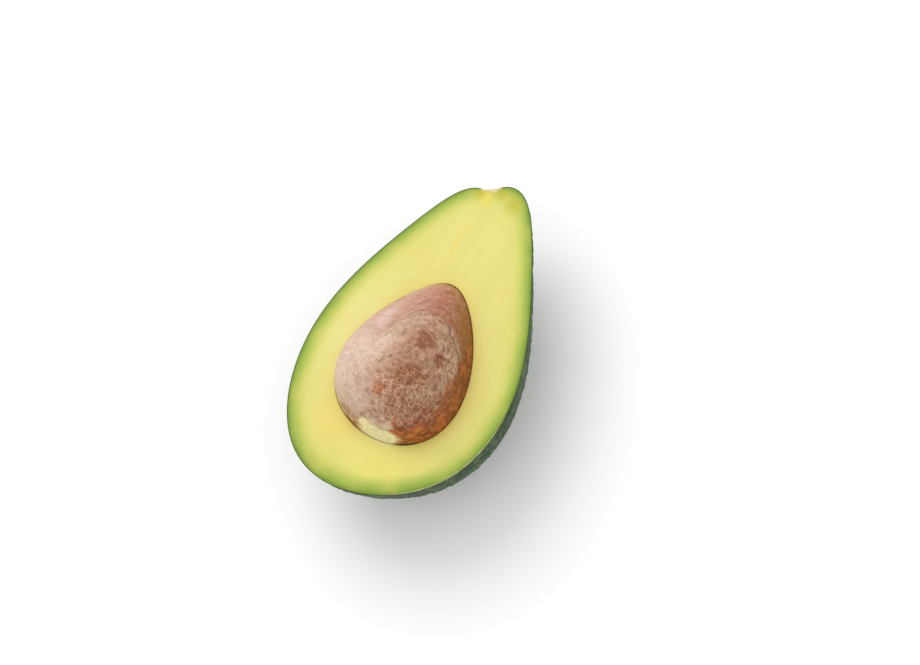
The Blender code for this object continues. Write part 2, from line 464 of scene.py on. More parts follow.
def spot(tree, place, centre, reach, core=0.35):
    """1 around a place of the fruit, in millimetres, and 0 beyond its reach along X, Y and Z."""
    centre = Vector(centre) + Vector((-REST_X, 0.0, REST_DEPTH)) / MM
    factors = tuple(1.0 / value for value in reach)
    offset = tuple(-c * f for c, f in zip(centre, factors))
    scaled = stretched(tree, place, factors, offset)
    away = add_node(tree, "ShaderNodeVectorMath", {0: scaled}, operation="LENGTH").outputs["Value"]
    return eased(tree, away, core, 1.0, 1.0, 0.0)


def number(tree, name):
    """The number of this name that the mesh carries at each point."""
    if tree.type == "GEOMETRY":
        kind = "GeometryNodeInputNamedAttribute"
        return add_node(tree, kind, {"Name": name}, data_type="FLOAT").outputs["Attribute"]
    return add_node(tree, "ShaderNodeAttribute", attribute_name=name).outputs["Fac"]


def new_material(name):
    """An empty material: its node tree, its shader node and the place in millimetres."""
    material = bpy.data.materials.new(name)
    material.use_nodes = True
    tree = material.node_tree
    shader = tree.nodes["Principled BSDF"]
    place = add_node(tree, "ShaderNodeTexCoord").outputs["Object"]
    return material, tree, shader, in_mm(tree, place)


def bumped(tree, shader, height, strength):
    """Gives the material fine bumps of a height in millimetres."""
    inputs = {"Height": height, "Distance": MM, "Strength": strength}
    bump = add_node(tree, "ShaderNodeBump", inputs)
    tree.links.new(bump.outputs["Normal"], shader.inputs["Normal"])


def relief_tree(name, height):
    """A modifier tree that raises the points by a height in millimetres, and keeps it as relief.

    The height is a function of the tree and the place in millimetres. The raise number at each
    point says how much of it that point takes.
    """
    tree = bpy.data.node_groups.new(name, "GeometryNodeTree")
    tree.interface.new_socket("Mesh", in_out="INPUT", socket_type="NodeSocketGeometry")
    tree.interface.new_socket("Mesh", in_out="OUTPUT", socket_type="NodeSocketGeometry")
    start = tree.nodes.new("NodeGroupInput")
    end = tree.nodes.new("NodeGroupOutput")
    place = tree.nodes.new("GeometryNodeInputPosition").outputs[0]
    found = height(tree, in_mm(tree, place))
    kept = add_node(
        tree,
        "GeometryNodeStoreNamedAttribute",
        {"Geometry": start.outputs[0], "Name": "relief", "Value": found},
        data_type="FLOAT",
        domain="POINT",
    )
    rise = multiply(tree, found, number(tree, "raise"), MM)
    normal = tree.nodes.new("GeometryNodeInputNormal").outputs[0]
    push = add_node(
        tree, "ShaderNodeVectorMath", {0: normal, "Scale": rise}, operation="SCALE"
    ).outputs[0]
    moved = add_node(
        tree, "GeometryNodeSetPosition", {"Geometry": kept.outputs[0], "Offset": push}
    )
    tree.links.new(moved.outputs[0], end.inputs[0])
    return tree


def give_relief(piece, height):
    """Raises the piece's points for good, and keeps them above the floor."""
    modifier = piece.modifiers.new("relief", "NODES")
    modifier.node_group = relief_tree(piece.name + "_relief", height)
    bpy.context.view_layer.update()
    graph = bpy.context.evaluated_depsgraph_get()
    mesh = bpy.data.meshes.new_from_object(
        piece.evaluated_get(graph), preserve_all_data_layers=True, depsgraph=graph
    )
    piece.modifiers.clear()
    piece.data = mesh
    points = np.empty(3 * len(mesh.vertices), np.float32)
    mesh.vertices.foreach_get("co", points)
    points[2::3] = np.maximum(points[2::3], 0.0)
    mesh.vertices.foreach_set("co", points)
    mesh.update()


def ridges(tree, vector, size):
    """1 in narrow winding valleys, 0 on the broad ridges between them."""
    offset = subtract(tree, noise(tree, vector, size), 0.5)
    return eased(tree, magnitude(tree, offset), 0.12, 0.0)


def stem_scar(tree, place):
    """1 on the skinless spot that the stem came off, 0 around it."""
    return spot(tree, warped(tree, place, 2.0, 0.8), (109.6, 4.1, 0.0), (5.0, 3.6, 4.0), 0.80)


def skin_height(tree, place):
    """The skin's bumps, wrinkles and pits, in millimetres below its highest points."""
    loose = warped(tree, place, 5.0, 1.6)
    pebbles = eased(tree, cells(tree, loose, 3.8, "SMOOTH_F1"), 0.1, 0.75, 0.0, -0.26)
    grains = eased(tree, cells(tree, loose, 1.7), 0.1, 0.7, 0.0, -0.14)
    # Wrinkles run across the fruit, and along it near the stem.
    crosswise = ridges(tree, stretched(tree, loose, (1.0, 0.38, 0.38)), 1.7)
    lengthwise = ridges(tree, stretched(tree, loose, (0.30, 1.0, 1.0)), 3.2)
    near_stem = eased(tree, parts_of(tree, place)[0], 22.0, 48.0)
    crosswise = multiply(tree, crosswise, eased(tree, near_stem, 0.0, 1.0, -0.24, -0.08))
    lengthwise = multiply(tree, lengthwise, eased(tree, near_stem, 0.0, 1.0, -0.06, -0.26))
    pits = eased(tree, cells(tree, shifted(tree, place, 40.0, 9.0, 3.0), 4.2), 0.10, 0.19)
    pits = add(tree, multiply(tree, pits, 0.24), -0.24)
    rough = add(tree, pebbles, grains, crosswise, lengthwise, pits)
    rough = highest(tree, rough, DEEPEST_RELIEF)
    scar = stem_scar(tree, place)
    around = subtract(tree, 1.0, scar)
    return add(tree, multiply(tree, rough, around), multiply(tree, scar, -0.35))


def net_strength(tree, place):
    """How clear the net is here: clearest low in the middle and on the -Y side."""
    low_middle = spot(tree, place, (30.0, -8.0, 17.0), (20.0, 17.0, 14.0), 0.42)
    right = multiply(tree, spot(tree, place, (49.0, -15.0, 11.0), (12.0, 6.0, 9.0)), 0.85)
    return highest(tree, low_middle, right, 0.45)


def net_place(tree, place):
    """The place that the net's cells are laid out on."""
    return warped(tree, place, 1.9, 1.25)


def net_lines(tree, place):
    """1 on the raised lines of the seed's coat, 0 between them; they fade in and out."""
    loose = net_place(tree, place)
    wide = eased(tree, cells(tree, loose, 2.5, "DISTANCE_TO_EDGE"), 0.012, 0.068, 1.0, 0.0)
    elsewhere = shifted(tree, loose, 17.0, 5.0, 9.0)
    fine = eased(tree, cells(tree, elsewhere, 1.4, "DISTANCE_TO_EDGE"), 0.010, 0.080, 1.0, 0.0)
    whole = eased(tree, noise(tree, elsewhere, 2.6), 0.34, 0.54, 0.30, 1.0)
    broken = eased(tree, noise(tree, place, 2.2), 0.42, 0.58, 0.0, 0.75)
    lines = highest(tree, multiply(tree, wide, whole), multiply(tree, fine, broken))
    return multiply(tree, lines, net_strength(tree, place))


def net_cores(tree, place):
    """1 in the middle of the net's cells, 0 at their edges."""
    depth = cells(tree, net_place(tree, place), 2.5, "DISTANCE_TO_EDGE")
    core = eased(tree, depth, 0.08, 0.32)
    some = eased(tree, noise(tree, place, 3.6), 0.40, 0.62, 0.25, 1.0)
    fading = eased(tree, number(tree, "unit_x"), 0.10, 0.42, 1.0, 0.35)
    return multiply(tree, core, some, fading, net_strength(tree, place))


def arch_rise(tree):
    """How high the arch stands here: 1 in its middle, 0 at its two feet."""
    across = mapped(tree, number(tree, "unit_y"), -0.95, 0.29, -1.0, 1.0)
    rest = subtract(tree, 1.0, multiply(tree, across, across))
    return calculate(tree, "SQRT", highest(tree, rest, 0.0))


def from_arch(tree, place):
    """How far a place on the seed is past the arch that ends the net, towards the narrow end.

    The arch runs up the seed on one side, over it near the narrow end and down the other side.
    The value is a share of the seed's half length, and 0 on the arch.
    """
    drop = multiply(tree, subtract(tree, 1.0, arch_rise(tree)), 0.55)
    wander = multiply(tree, subtract(tree, noise(tree, place, 7.0, 2.0), 0.5), 0.25)
    return add(tree, number(tree, "unit_x"), drop, wander, -0.54)


def tip_creases(tree, place):
    """1 along the curved folds around the seed's narrow end, 0 elsewhere."""
    past = from_arch(tree, place)
    across = number(tree, "unit_y")
    line = eased(tree, calculate(tree, "PINGPONG", past, 0.047), 0.0, 0.014, 1.0, 0.0)
    inner = eased(tree, past, -0.06, -0.02)
    outer = eased(tree, past, 0.12, 0.32, 1.0, 0.0)
    broken = eased(tree, noise(tree, place, 4.5), 0.42, 0.58)
    middle = eased(tree, across, 0.40, 0.22)
    folds = multiply(tree, line, inner, outer, broken, middle)
    # The arch itself is one long fold down the -Y side, and a shorter one on the +Y side.
    # Its feet are steep, so the distance across it is less there.
    steep = calculate(tree, "MINIMUM", multiply(tree, arch_rise(tree), 1.6), 1.0)
    inwards = eased(tree, across, -0.40, -0.70, 0.0, 0.062)
    beside = multiply(tree, magnitude(tree, add(tree, past, inwards)), steep)
    fold = eased(tree, beside, 0.006, 0.024, 1.0, 0.0)
    high = eased(tree, arch_rise(tree), 0.55, 0.80)
    shorter = multiply(tree, eased(tree, across, 0.0, 0.14, 0.0, 0.7), middle, high)
    fold = multiply(tree, fold, highest(tree, eased(tree, across, -0.30, -0.60), shorter))
    # Two thin rings lie further towards the tip.
    wander = multiply(tree, noise(tree, place, 8.0, 2.0), 0.14)
    away = magnitude(tree, add(tree, number(tree, "unit_x"), wander, -0.72))
    away = magnitude(tree, add(tree, away, -0.028))
    on_top = eased(tree, magnitude(tree, across), 0.42, 0.25)
    rings = multiply(tree, eased(tree, away, 0.003, 0.014, 0.6, 0.0), on_top, broken)
    return highest(tree, folds, rings, fold)


def bare_chip(tree, place):
    """1 where the coat has come off at the seed's broad end, 0 well outside; torn edges."""
    loose = warped(tree, warped(tree, place, 5.0, 4.4), 1.1, 1.3)
    # Moved back by the mean push of both.
    centred = shifted(tree, loose, -2.85, -2.85, -2.85)
    broad = spot(tree, centred, (19.2, -1.6, 2.8), (5.8, 9.8, 8.0), 0.50)
    horn = spot(tree, centred, (21.0, 2.0, 7.0), (3.4, 3.9, 3.4), 0.45)
    return highest(tree, broad, horn)


def seed_height(tree, place):
    """The seed's surface in millimetres below its highest points."""
    lines = multiply(tree, net_lines(tree, place), 0.06)
    swell = multiply(tree, noise(tree, place, 7.0), 0.30)
    dents = multiply(tree, noise(tree, place, 1.8), 0.10)
    folds = multiply(tree, tip_creases(tree, place), -0.14)
    chip = multiply(tree, eased(tree, bare_chip(tree, place), 0.3, 0.7), -0.30)
    return add(tree, lines, swell, dents, folds, chip, -0.46)


def make_skin():
    """The skin, the inner edge of its cut, and the unit ball's ring that both came from."""
    unit, triangles = half_ball(FINE_LEVEL, -1)
    rim = rim_of(unit)
    outer = sunk(on_fruit, unit, triangles, OUTER_INSET)
    ring = unit[rim]
    inner_unit, inner_triangles, inner_rim = coarse_bowl(ring)
    inner = sunk(on_fruit, inner_unit, inner_triangles, SKIN_THICKNESS)
    loops = []
    for share, drop in EDGE_RINGS:
        loop = (1.0 - share) * outer[rim] + share * inner[inner_rim]
        loop[:, 2] = -drop
        loops.append(loop)
    outer[rim, 2] -= OUTER_EDGE_DROP
    points = np.vstack([outer, *loops, inner])
    count = len(rim)
    starts = len(outer) + count * np.arange(len(loops) + 1)
    rings = [rim]
    rings += [starts[k] + np.arange(count) for k in range(len(loops))]
    rings.append(starts[-1] + inner_rim)
    made = [triangles, starts[-1] + inner_triangles[:, ::-1]]
    made += [strip(a, b) for a, b in zip(rings[:-1], rings[1:])]
    raised = np.zeros(len(points))
    below_cut = np.clip(-outer[:, 2] / FULL_RELIEF_DEPTH, 0.0, 1.0)
    raised[: len(outer)] = below_cut * (1.0 - RELIEF_AT_CUT) + RELIEF_AT_CUT
    inward = np.ones(len(points))
    inward[: len(outer)] = 0.0
    for (share, _), ring_points in zip(EDGE_RINGS, rings[1:]):
        inward[ring_points] = share
    numbers = {"raise": raised, "inward": inward}
    piece = make_object("avocado_skin", points, np.vstack(made), numbers)
    give_relief(piece, skin_height)
    return piece, inner[inner_rim], ring


def make_flesh(edge, ring):
    """The flesh, whose face starts at the given edge of the skin."""
    dome_unit, dome_triangles, dome_rim = coarse_bowl(ring)
    dome = sunk(on_fruit, dome_unit, dome_triangles, SKIN_THICKNESS + FLESH_GAP)
    dome[dome_rim] = edge
    hollow_unit, hollow_triangles, hollow_rim = coarse_bowl(ring)
    hollow = sunk(on_seed, hollow_unit, hollow_triangles, -SEED_GAP)
    lip = hollow[hollow_rim].copy()
    middle = lip[:, :2].mean(0)
    outward = lip[:, :2] - middle
    outward /= np.linalg.norm(outward, axis=1)[:, None]
    shares = np.linspace(0.0, 1.0, FACE_RINGS + 1)[1:] ** FACE_RING_POWER
    lip_top = lip.copy()
    lip_top[:, :2] += LIP_WIDTH * outward
    lip_top[:, 2] = 0.0
    loops = []
    for share in shares:
        loop = (1.0 - share) * edge + share * lip_top
        loop[:, 2] = 0.0
        loops.append(loop)
    turn = lip.copy()
    turn[:, :2] += ROUNDING_WIDTH * outward
    turn[:, 2] = -ROUNDING_DROP
    loops.append(turn)
    hollow[hollow_rim, 2] = np.minimum(hollow[hollow_rim, 2], -HOLLOW_DROP)
    points = np.vstack([dome, *loops, hollow])
    count = len(ring)
    starts = len(dome) + count * np.arange(len(loops) + 1)
    rings = [dome_rim]
    rings += [starts[k] + np.arange(count) for k in range(len(loops))]
    rings.append(starts[-1] + hollow_rim)
    made = [dome_triangles, starts[-1] + hollow_triangles[:, ::-1]]
    made += [strip(a, b) for a, b in zip(rings[:-1], rings[1:])]
    numbers = {"to_skin": nearest(points, edge) / MM, "to_seed": nearest(points, lip) / MM}
    return make_object("avocado_flesh", points, np.vstack(made), numbers)


def make_seed():
    """The seed: fine above its middle plane, coarser below it."""
    unit, triangles = half_ball(FINE_LEVEL, 1)
    rim = rim_of(unit)
    low_unit, low_triangles, low_rim = coarse_bowl(unit[rim])
    # The lower half takes the upper half's rim points.
    renamed = len(unit) + np.arange(len(low_unit))
    renamed[low_rim] = rim
    all_unit = np.vstack([unit, low_unit])
    all_triangles = np.vstack([triangles, renamed[low_triangles]])
    used, all_triangles = np.unique(all_triangles, return_inverse=True)
    all_triangles = all_triangles.reshape(-1, 3)
    all_unit = all_unit[used]
    points = on_seed(all_unit)
    numbers = {
        "raise": np.clip(np.abs(all_unit[:, 2]) / SEED_FULL_RELIEF, 0.0, 1.0),
        "unit_x": all_unit[:, 0],
        "unit_y": all_unit[:, 1],
        "unit_z": all_unit[:, 2],
    }
    piece = make_object("avocado_seed", points, all_triangles, numbers)
    give_relief(piece, seed_height)
    return piece


def skin_material():
    """Green skin with painted shade in its hollows and painted highlights on its crests, its cut
    edge, and the stem's corky scar.
    """
    material, tree, shader, place = new_material("avocado_skin")
    relief = number(tree, "relief")
    inward = number(tree, "inward")
    broad = noise(tree, place, 16.0, 3.0)
    fine = noise(tree, place, 1.1, 3.0, 0.6)
    green = blended(
        tree, eased(tree, broad, 0.35, 0.68), (0.018, 0.054, 0.012, 1), (0.040, 0.108, 0.024, 1)
    )
    # Painted shade: the skin is darker in the relief's hollows.
    high = eased(tree, relief, -0.58, -0.20)
    green = blended(tree, high, (0.010, 0.024, 0.006, 1), green)
    # Painted highlight: the relief's crests are paler.
    painted_crest_highlight = multiply(tree, eased(tree, relief, -0.34, -0.06), 0.5)
    green = blended(tree, painted_crest_highlight, green, (0.085, 0.160, 0.050, 1))
    speck = eased(tree, cells(tree, warped(tree, place, 2.0, 0.8), 2.6), 0.09, 0.16, 0.4, 0.0)
    green = blended(tree, speck, green, (0.150, 0.220, 0.080, 1))
    green = blended(tree, 0.18, green, blended(tree, fine, (0, 0, 0, 1), (0.16, 0.22, 0.09, 1)))
    cut = ramp(
        tree,
        inward,
        (
            (0.0, 0.020, 0.042, 0.008),
            (0.25, 0.035, 0.070, 0.010),
            (0.55, 0.120, 0.190, 0.022),
            (1.0, 0.270, 0.400, 0.045),
        ),
    )
    # A painted highlight: a pale line along the skin's cut edge, on the -Y side near the blossom
    # end.
    parts = parts_of(tree, place)
    painted_edge_highlight = multiply(
        tree,
        eased(tree, inward, 0.10, 0.35),
        eased(tree, inward, 0.90, 0.60),
        eased(tree, parts[0], -3.0, -16.0),
        eased(tree, parts[1], -8.0, -18.0),
        eased(tree, noise(tree, place, 3.0, 3.0), 0.35, 0.65, 0.25, 0.6),
    )
    cut = blended(tree, painted_edge_highlight, cut, (0.620, 0.660, 0.360, 1))
    on_cut = eased(tree, inward, 0.02, 0.10)
    colour = blended(tree, on_cut, green, cut)
    cork = blended(tree, fine, (0.520, 0.430, 0.180, 1), (0.780, 0.700, 0.400, 1))
    # The scar is browner further from the cut.
    away = eased(tree, parts[2], 35.3, 33.2, 0.0, 0.85)
    brown = multiply(tree, away, eased(tree, fine, 0.25, 0.6, 0.7, 1.0))
    cork = blended(tree, brown, cork, (0.230, 0.125, 0.045, 1))
    colour = blended(tree, stem_scar(tree, place), colour, cork)
    tree.links.new(colour, shader.inputs["Base Color"])
    rough = add(tree, multiply(tree, fine, 0.22), 0.34)
    tree.links.new(rough, shader.inputs["Roughness"])
    shine = eased(tree, inward, 0.0, 0.15, 0.26, 0.08)
    tree.links.new(shine, shader.inputs["Specular IOR Level"])
    bumped(tree, shader, multiply(tree, fine, 0.08), 0.7)
    return material


def flesh_material():
    """Moist flesh: green beside the skin, pale yellow inside, warmer beside the seed."""
    material, tree, shader, place = new_material("avocado_flesh")
    to_skin = number(tree, "to_skin")
    to_seed = number(tree, "to_seed")
    parts = parts_of(tree, place)
    # 0 in the green zone beside the skin, 1 inside it.
    inner = eased(tree, to_skin, 3.0, 7.0)
    # The green zone is wider towards -Y and at the blossom end.
    side = eased(tree, parts[1], -22.0, 22.0, 1.25, 1.30)
    end = eased(tree, parts[0], -48.0, -22.0, 0.62, 1.0)
    wander = eased(tree, noise(tree, place, 12.0, 1.0), 0.3, 0.7, 0.90, 1.10)
    colour = ramp(
        tree,
        multiply(tree, to_skin, side, wander, end),
        (
            (0.0, 0.130, 0.220, 0.016),
            (0.5, 0.240, 0.350, 0.036),
            (1.6, 0.320, 0.430, 0.058),
            (3.0, 0.440, 0.510, 0.088),
            (4.6, 0.570, 0.580, 0.125),
            (7.0, 0.670, 0.635, 0.175),
            (14.0, 0.720, 0.660, 0.200),
        ),
    )
    warm = eased(tree, to_seed, 0.0, 6.0, 0.6, 0.0)
    colour = blended(tree, warm, colour, (0.740, 0.615, 0.165, 1))
    # Paler towards +Y and at the blossom end, and yellowest beside the seed's broad end.
    pale = spot(tree, place, (52.0, 25.0, 0.0), (34.0, 16.0, 9.0), 0.2)
    colour = blended(tree, multiply(tree, pale, inner, 0.6), colour, (0.760, 0.720, 0.290, 1))
    low = spot(tree, place, (12.0, -12.0, 0.0), (16.0, 24.0, 9.0), 0.3)
    colour = blended(tree, multiply(tree, low, inner, 0.7), colour, (0.800, 0.720, 0.190, 1))
    yellow = spot(tree, warped(tree, place, 4.0, 3.0), (20.0, 15.0, 0.0), (11.0, 13.0, 9.0), 0.1)
    colour = blended(tree, multiply(tree, yellow, inner, 0.5), colour, (0.850, 0.640, 0.150, 1))
    # Yellower clouds and thin streaks that run along the fruit.
    cloud = eased(tree, noise(tree, place, 9.0, 3.0), 0.40, 0.72, 0.0, 0.30)
    colour = blended(tree, cloud, colour, (0.720, 0.610, 0.150, 1))
    along = stretched(tree, warped(tree, place, 18.0, 6.0), (0.08, 1.0, 1.0))
    neck = eased(tree, parts[0], 0.0, 30.0)
    streak = eased(tree, noise(tree, along, 5.0, 1.0), 0.40, 0.70, 0.0, 0.16)
    colour = blended(tree, multiply(tree, streak, neck, inner), colour, (0.590, 0.570, 0.165, 1))
    # One clear vein, and a paler smear at the seed's broad end.
    vein = spot(tree, place, (88.0, 5.2, 0.0), (13.0, 1.5, 4.0), 0.1)
    colour = blended(tree, multiply(tree, vein, 0.35), colour, (0.760, 0.600, 0.105, 1))
    smear = spot(tree, place, (19.3, -2.0, 0.0), (2.6, 8.0, 4.0), 0.2)
    colour = blended(tree, multiply(tree, smear, 0.6), colour, (0.800, 0.730, 0.330, 1))
    # Around the stem's scar the flesh is pale, with olive patches beside it.
    below_scar = spot(tree, place, (105.5, 3.6, 0.0), (5.0, 4.6, 4.0), 0.1)
    colour = blended(tree, multiply(tree, below_scar, 0.8), colour, (0.760, 0.620, 0.110, 1))
    scar = spot(tree, place, (108.7, 3.8, 0.0), (1.5, 3.6, 4.0), 0.3)
    colour = blended(tree, multiply(tree, scar, 0.9), colour, (0.820, 0.720, 0.360, 1))
    patches = [spot(tree, place, centre, reach, 0.0) for centre, reach in OLIVE_PATCHES]
    olive = highest(tree, *patches)
    colour = blended(tree, multiply(tree, olive, 0.75), colour, (0.510, 0.440, 0.035, 1))
    tree.links.new(colour, shader.inputs["Base Color"])
    shader.inputs["Subsurface Weight"].default_value = 0.25
    shader.inputs["Subsurface Radius"].default_value = (1.0, 0.75, 0.25)
    shader.inputs["Subsurface Scale"].default_value = 0.0012
    shader.inputs["Roughness"].default_value = 0.45
    shader.inputs["Specular IOR Level"].default_value = 0.25
    grain = noise(tree, place, 0.7, 3.0)
    broad = noise(tree, place, 6.0, 2.0)
    bumped(tree, shader, add(tree, multiply(tree, grain, 0.03), multiply(tree, broad, 0.25)), 0.6)
    return material


def seed_material():
    """A papery film with a net of lines, a smooth tip, glossy bare coat and a pale bare patch."""
    material, tree, shader, place = new_material("avocado_seed")
    along = number(tree, "unit_x")
    across = number(tree, "unit_y")
    up = number(tree, "unit_z")
    patchy = noise(tree, warped(tree, place, 4.0, 3.0), 4.5, 3.0)
    mottle = noise(tree, place, 1.5, 3.0, 0.6)
    # Streaks that follow the arch's curve, on both sides of it.
    past = from_arch(tree, place)
    curve = combined(tree, past, across, up)
    streaky = noise(tree, stretched(tree, curve, (9.0, 1.6, 1.6)), 0.55, 3.0, 0.6)
    # The papery film: pale towards +Y, browner in the middle, greyer towards -Y.
    film = ramp(
        tree,
        add(tree, across, multiply(tree, patchy, 0.6), -0.30),
        (
            (-1.0, 0.250, 0.100, 0.040),
            (-0.80, 0.330, 0.190, 0.110),
            (-0.55, 0.290, 0.140, 0.080),
            (-0.25, 0.330, 0.150, 0.085),
            (0.0, 0.440, 0.245, 0.165),
            (0.30, 0.600, 0.420, 0.320),
            (0.80, 0.660, 0.470, 0.360),
        ),
    )
    brown = eased(tree, patchy, 0.50, 0.64, 0.0, 0.6)
    brown = multiply(tree, brown, eased(tree, across, 0.1, 0.45, 1.0, 0.22))
    film = blended(tree, brown, film, (0.240, 0.078, 0.032, 1))
    loose = warped(tree, warped(tree, place, 5.0, 5.0), 1.2, 1.2)
    # Moved back by the mean push of both.
    centred = shifted(tree, loose, -3.1, -3.1, -3.1)
    browner = []
    for centre, reach, share, colour in FILM_PATCHES:
        patch = multiply(tree, spot(tree, centred, centre, (reach, reach, reach), 0.24), share)
        film = blended(tree, patch, film, colour)
        if colour in (BROWN, RED_BROWN, ORANGE):
            browner.append(patch)
    # Fine mottling. Its dark side is weaker towards +Y.
    paler = eased(tree, mottle, 0.48, 0.75, 0.0, 0.40)
    film = blended(tree, paler, film, (0.620, 0.415, 0.290, 1))
    darker = eased(tree, mottle, 0.50, 0.28, 0.0, 0.55)
    darker = multiply(tree, darker, eased(tree, across, 0.45, -0.1, 0.62, 1.0))
    film = blended(tree, darker, film, (0.190, 0.060, 0.026, 1))
    # It is smeared near the arch.
    near_arch = eased(tree, past, -0.60, -0.12)
    smeared = multiply(tree, near_arch, eased(tree, streaky, 0.48, 0.66), 0.45)
    film = blended(tree, smeared, film, (0.600, 0.450, 0.340, 1))
    smeared = multiply(tree, near_arch, eased(tree, streaky, 0.46, 0.30), 0.45)
    film = blended(tree, smeared, film, (0.290, 0.145, 0.085, 1))
    # Thin pale threads run along it towards +Y.
    threads = noise(tree, stretched(tree, place, (0.12, 1.0, 1.0)), 0.8, 2.0)
    threads = multiply(tree, eased(tree, threads, 0.50, 0.66), eased(tree, across, 0.0, 0.5), 0.20)
    film = blended(tree, threads, film, (0.760, 0.600, 0.490, 1))
    to_pale_side = eased(tree, across, -0.05, 0.40)
    dark, pale = (0.200, 0.060, 0.018, 1), (0.350, 0.185, 0.125, 1)
    core_colour = blended(tree, to_pale_side, dark, pale)
    film = blended(tree, multiply(tree, net_cores(tree, place), 0.50), film, core_colour)
    net = net_lines(tree, place)
    dark, pale = (0.730, 0.450, 0.270, 1), (0.860, 0.700, 0.580, 1)
    line_colour = blended(tree, to_pale_side, dark, pale)
    film = blended(tree, multiply(tree, net, 0.82), film, line_colour)
    # The browner patches show through the net as well.
    tint = multiply(tree, highest(tree, *browner), 0.9)
    film = blended(tree, tint, film, (0.780, 0.530, 0.360, 1), "MULTIPLY")
    # Past the arch there is no net: smooth, pinkish, redder and browner towards -Y.
    # The change is sharp on the -Y side and soft on the +Y side.
    soft = eased(tree, across, -0.1, 0.30, 0.04, 0.34)
    at_tip = calculate(tree, "DIVIDE", add(tree, past, soft), multiply(tree, soft, 2.0))
    at_tip = eased(tree, at_tip, 0.0, 1.0)
    tip = ramp(
        tree,
        across,
        (
            (-0.95, 0.230, 0.078, 0.008),
            (-0.60, 0.280, 0.088, 0.022),
            (-0.30, 0.350, 0.105, 0.052),
            (0.05, 0.400, 0.155, 0.100),
            (0.35, 0.480, 0.260, 0.190),
            (0.80, 0.590, 0.385, 0.300),
        ),
    )
    grain = noise(tree, stretched(tree, place, (0.3, 1.0, 1.0)), 1.2, 3.0)
    pink = eased(tree, grain, 0.35, 0.7, 0.0, 0.40)
    pink = multiply(tree, pink, eased(tree, across, -0.9, -0.4))
    tip = blended(tree, pink, tip, (0.530, 0.290, 0.210, 1))
    darker = multiply(tree, eased(tree, streaky, 0.50, 0.30), 0.42)
    tip = blended(tree, darker, tip, (0.300, 0.070, 0.032, 1))
    paler = multiply(tree, eased(tree, streaky, 0.52, 0.74), 0.42)
    paler = multiply(tree, paler, eased(tree, across, -0.75, -0.2))
    tip = blended(tree, paler, tip, (0.680, 0.450, 0.370, 1))
    colour = blended(tree, at_tip, film, tip)
    # A paler, glossy patch on the shoulder: partly the film's own paler tone, partly a painted
    # highlight.
    shoulder_pale_and_highlight = spot(tree, place, (54.0, 9.8, 14.8), (8.5, 4.0, 5.0), 0.1)
    colour = blended(tree, multiply(tree, shoulder_pale_and_highlight, 0.38), colour, (0.780, 0.640, 0.590, 1))
    creases = tip_creases(tree, place)
    # Painted shade darkens the folds.
    colour = blended(tree, multiply(tree, creases, 0.6), colour, (0.190, 0.070, 0.040, 1))
    # Below the film's ragged edge the glossy red-brown coat shows, most towards -X and -Y.
    lean = add(tree, multiply(tree, along, -0.66), multiply(tree, across, -0.75))
    edge_height = eased(tree, lean, 0.05, 0.95, 0.02, 0.50)
    band = eased(tree, across, -0.97, -0.86, 0.30, 0.0)
    ragged = eased(tree, noise(tree, place, 2.2, 4.0, 0.65), 0.25, 0.75, -0.16, 0.16)
    # The film reaches lower above the bare patch.
    lower = multiply(tree, spot(tree, place, (21.8, -2.0, 9.5), (6.0, 7.5, 5.0), 0.3), -0.25)
    over = subtract(tree, up, add(tree, edge_height, band, ragged, lower))
    covered = eased(tree, over, -0.05, 0.06)
    held = multiply(tree, net, eased(tree, over, -0.22, 0.0), 0.8)
    covered = highest(tree, covered, held)
    pale, dark = (0.380, 0.085, 0.016, 1), (0.210, 0.040, 0.008, 1)
    bare = blended(tree, eased(tree, patchy, 0.38, 0.60), pale, dark)
    # Its streaks run level, along the hollow's edge.
    level = stretched(tree, combined(tree, up, across, along), (9.0, 2.2, 2.2))
    level = noise(tree, level, 0.5, 3.0, 0.6)
    veined = add(tree, multiply(tree, level, 0.65), multiply(tree, mottle, 0.35))
    paler = eased(tree, veined, 0.48, 0.62, 0.0, 0.65)
    bare = blended(tree, paler, bare, (0.560, 0.145, 0.028, 1))
    darker = eased(tree, veined, 0.48, 0.36, 0.0, 0.70)
    bare = blended(tree, darker, bare, (0.105, 0.021, 0.006, 1))
    for centre in REDDER_PLACES:
        redder = multiply(tree, spot(tree, centred, centre, (5.0, 5.0, 4.0), 0.3), 0.6)
        bare = blended(tree, redder, bare, (0.200, 0.042, 0.009, 1))
    colour = blended(tree, covered, bare, colour)
    # Painted shade right at the -Y side, down in the hollow.
    painted_hollow_shade = multiply(tree, eased(tree, across, -0.80, -0.97), 0.20)
    colour = blended(tree, painted_hollow_shade, colour, (0.140, 0.045, 0.010, 1))
    # Where the coat has come off, the pale inside shows.
    chip = bare_chip(tree, place)
    dark, pale = (0.780, 0.640, 0.340, 1), (0.900, 0.830, 0.530, 1)
    cream = blended(tree, eased(tree, mottle, 0.3, 0.7), dark, pale)
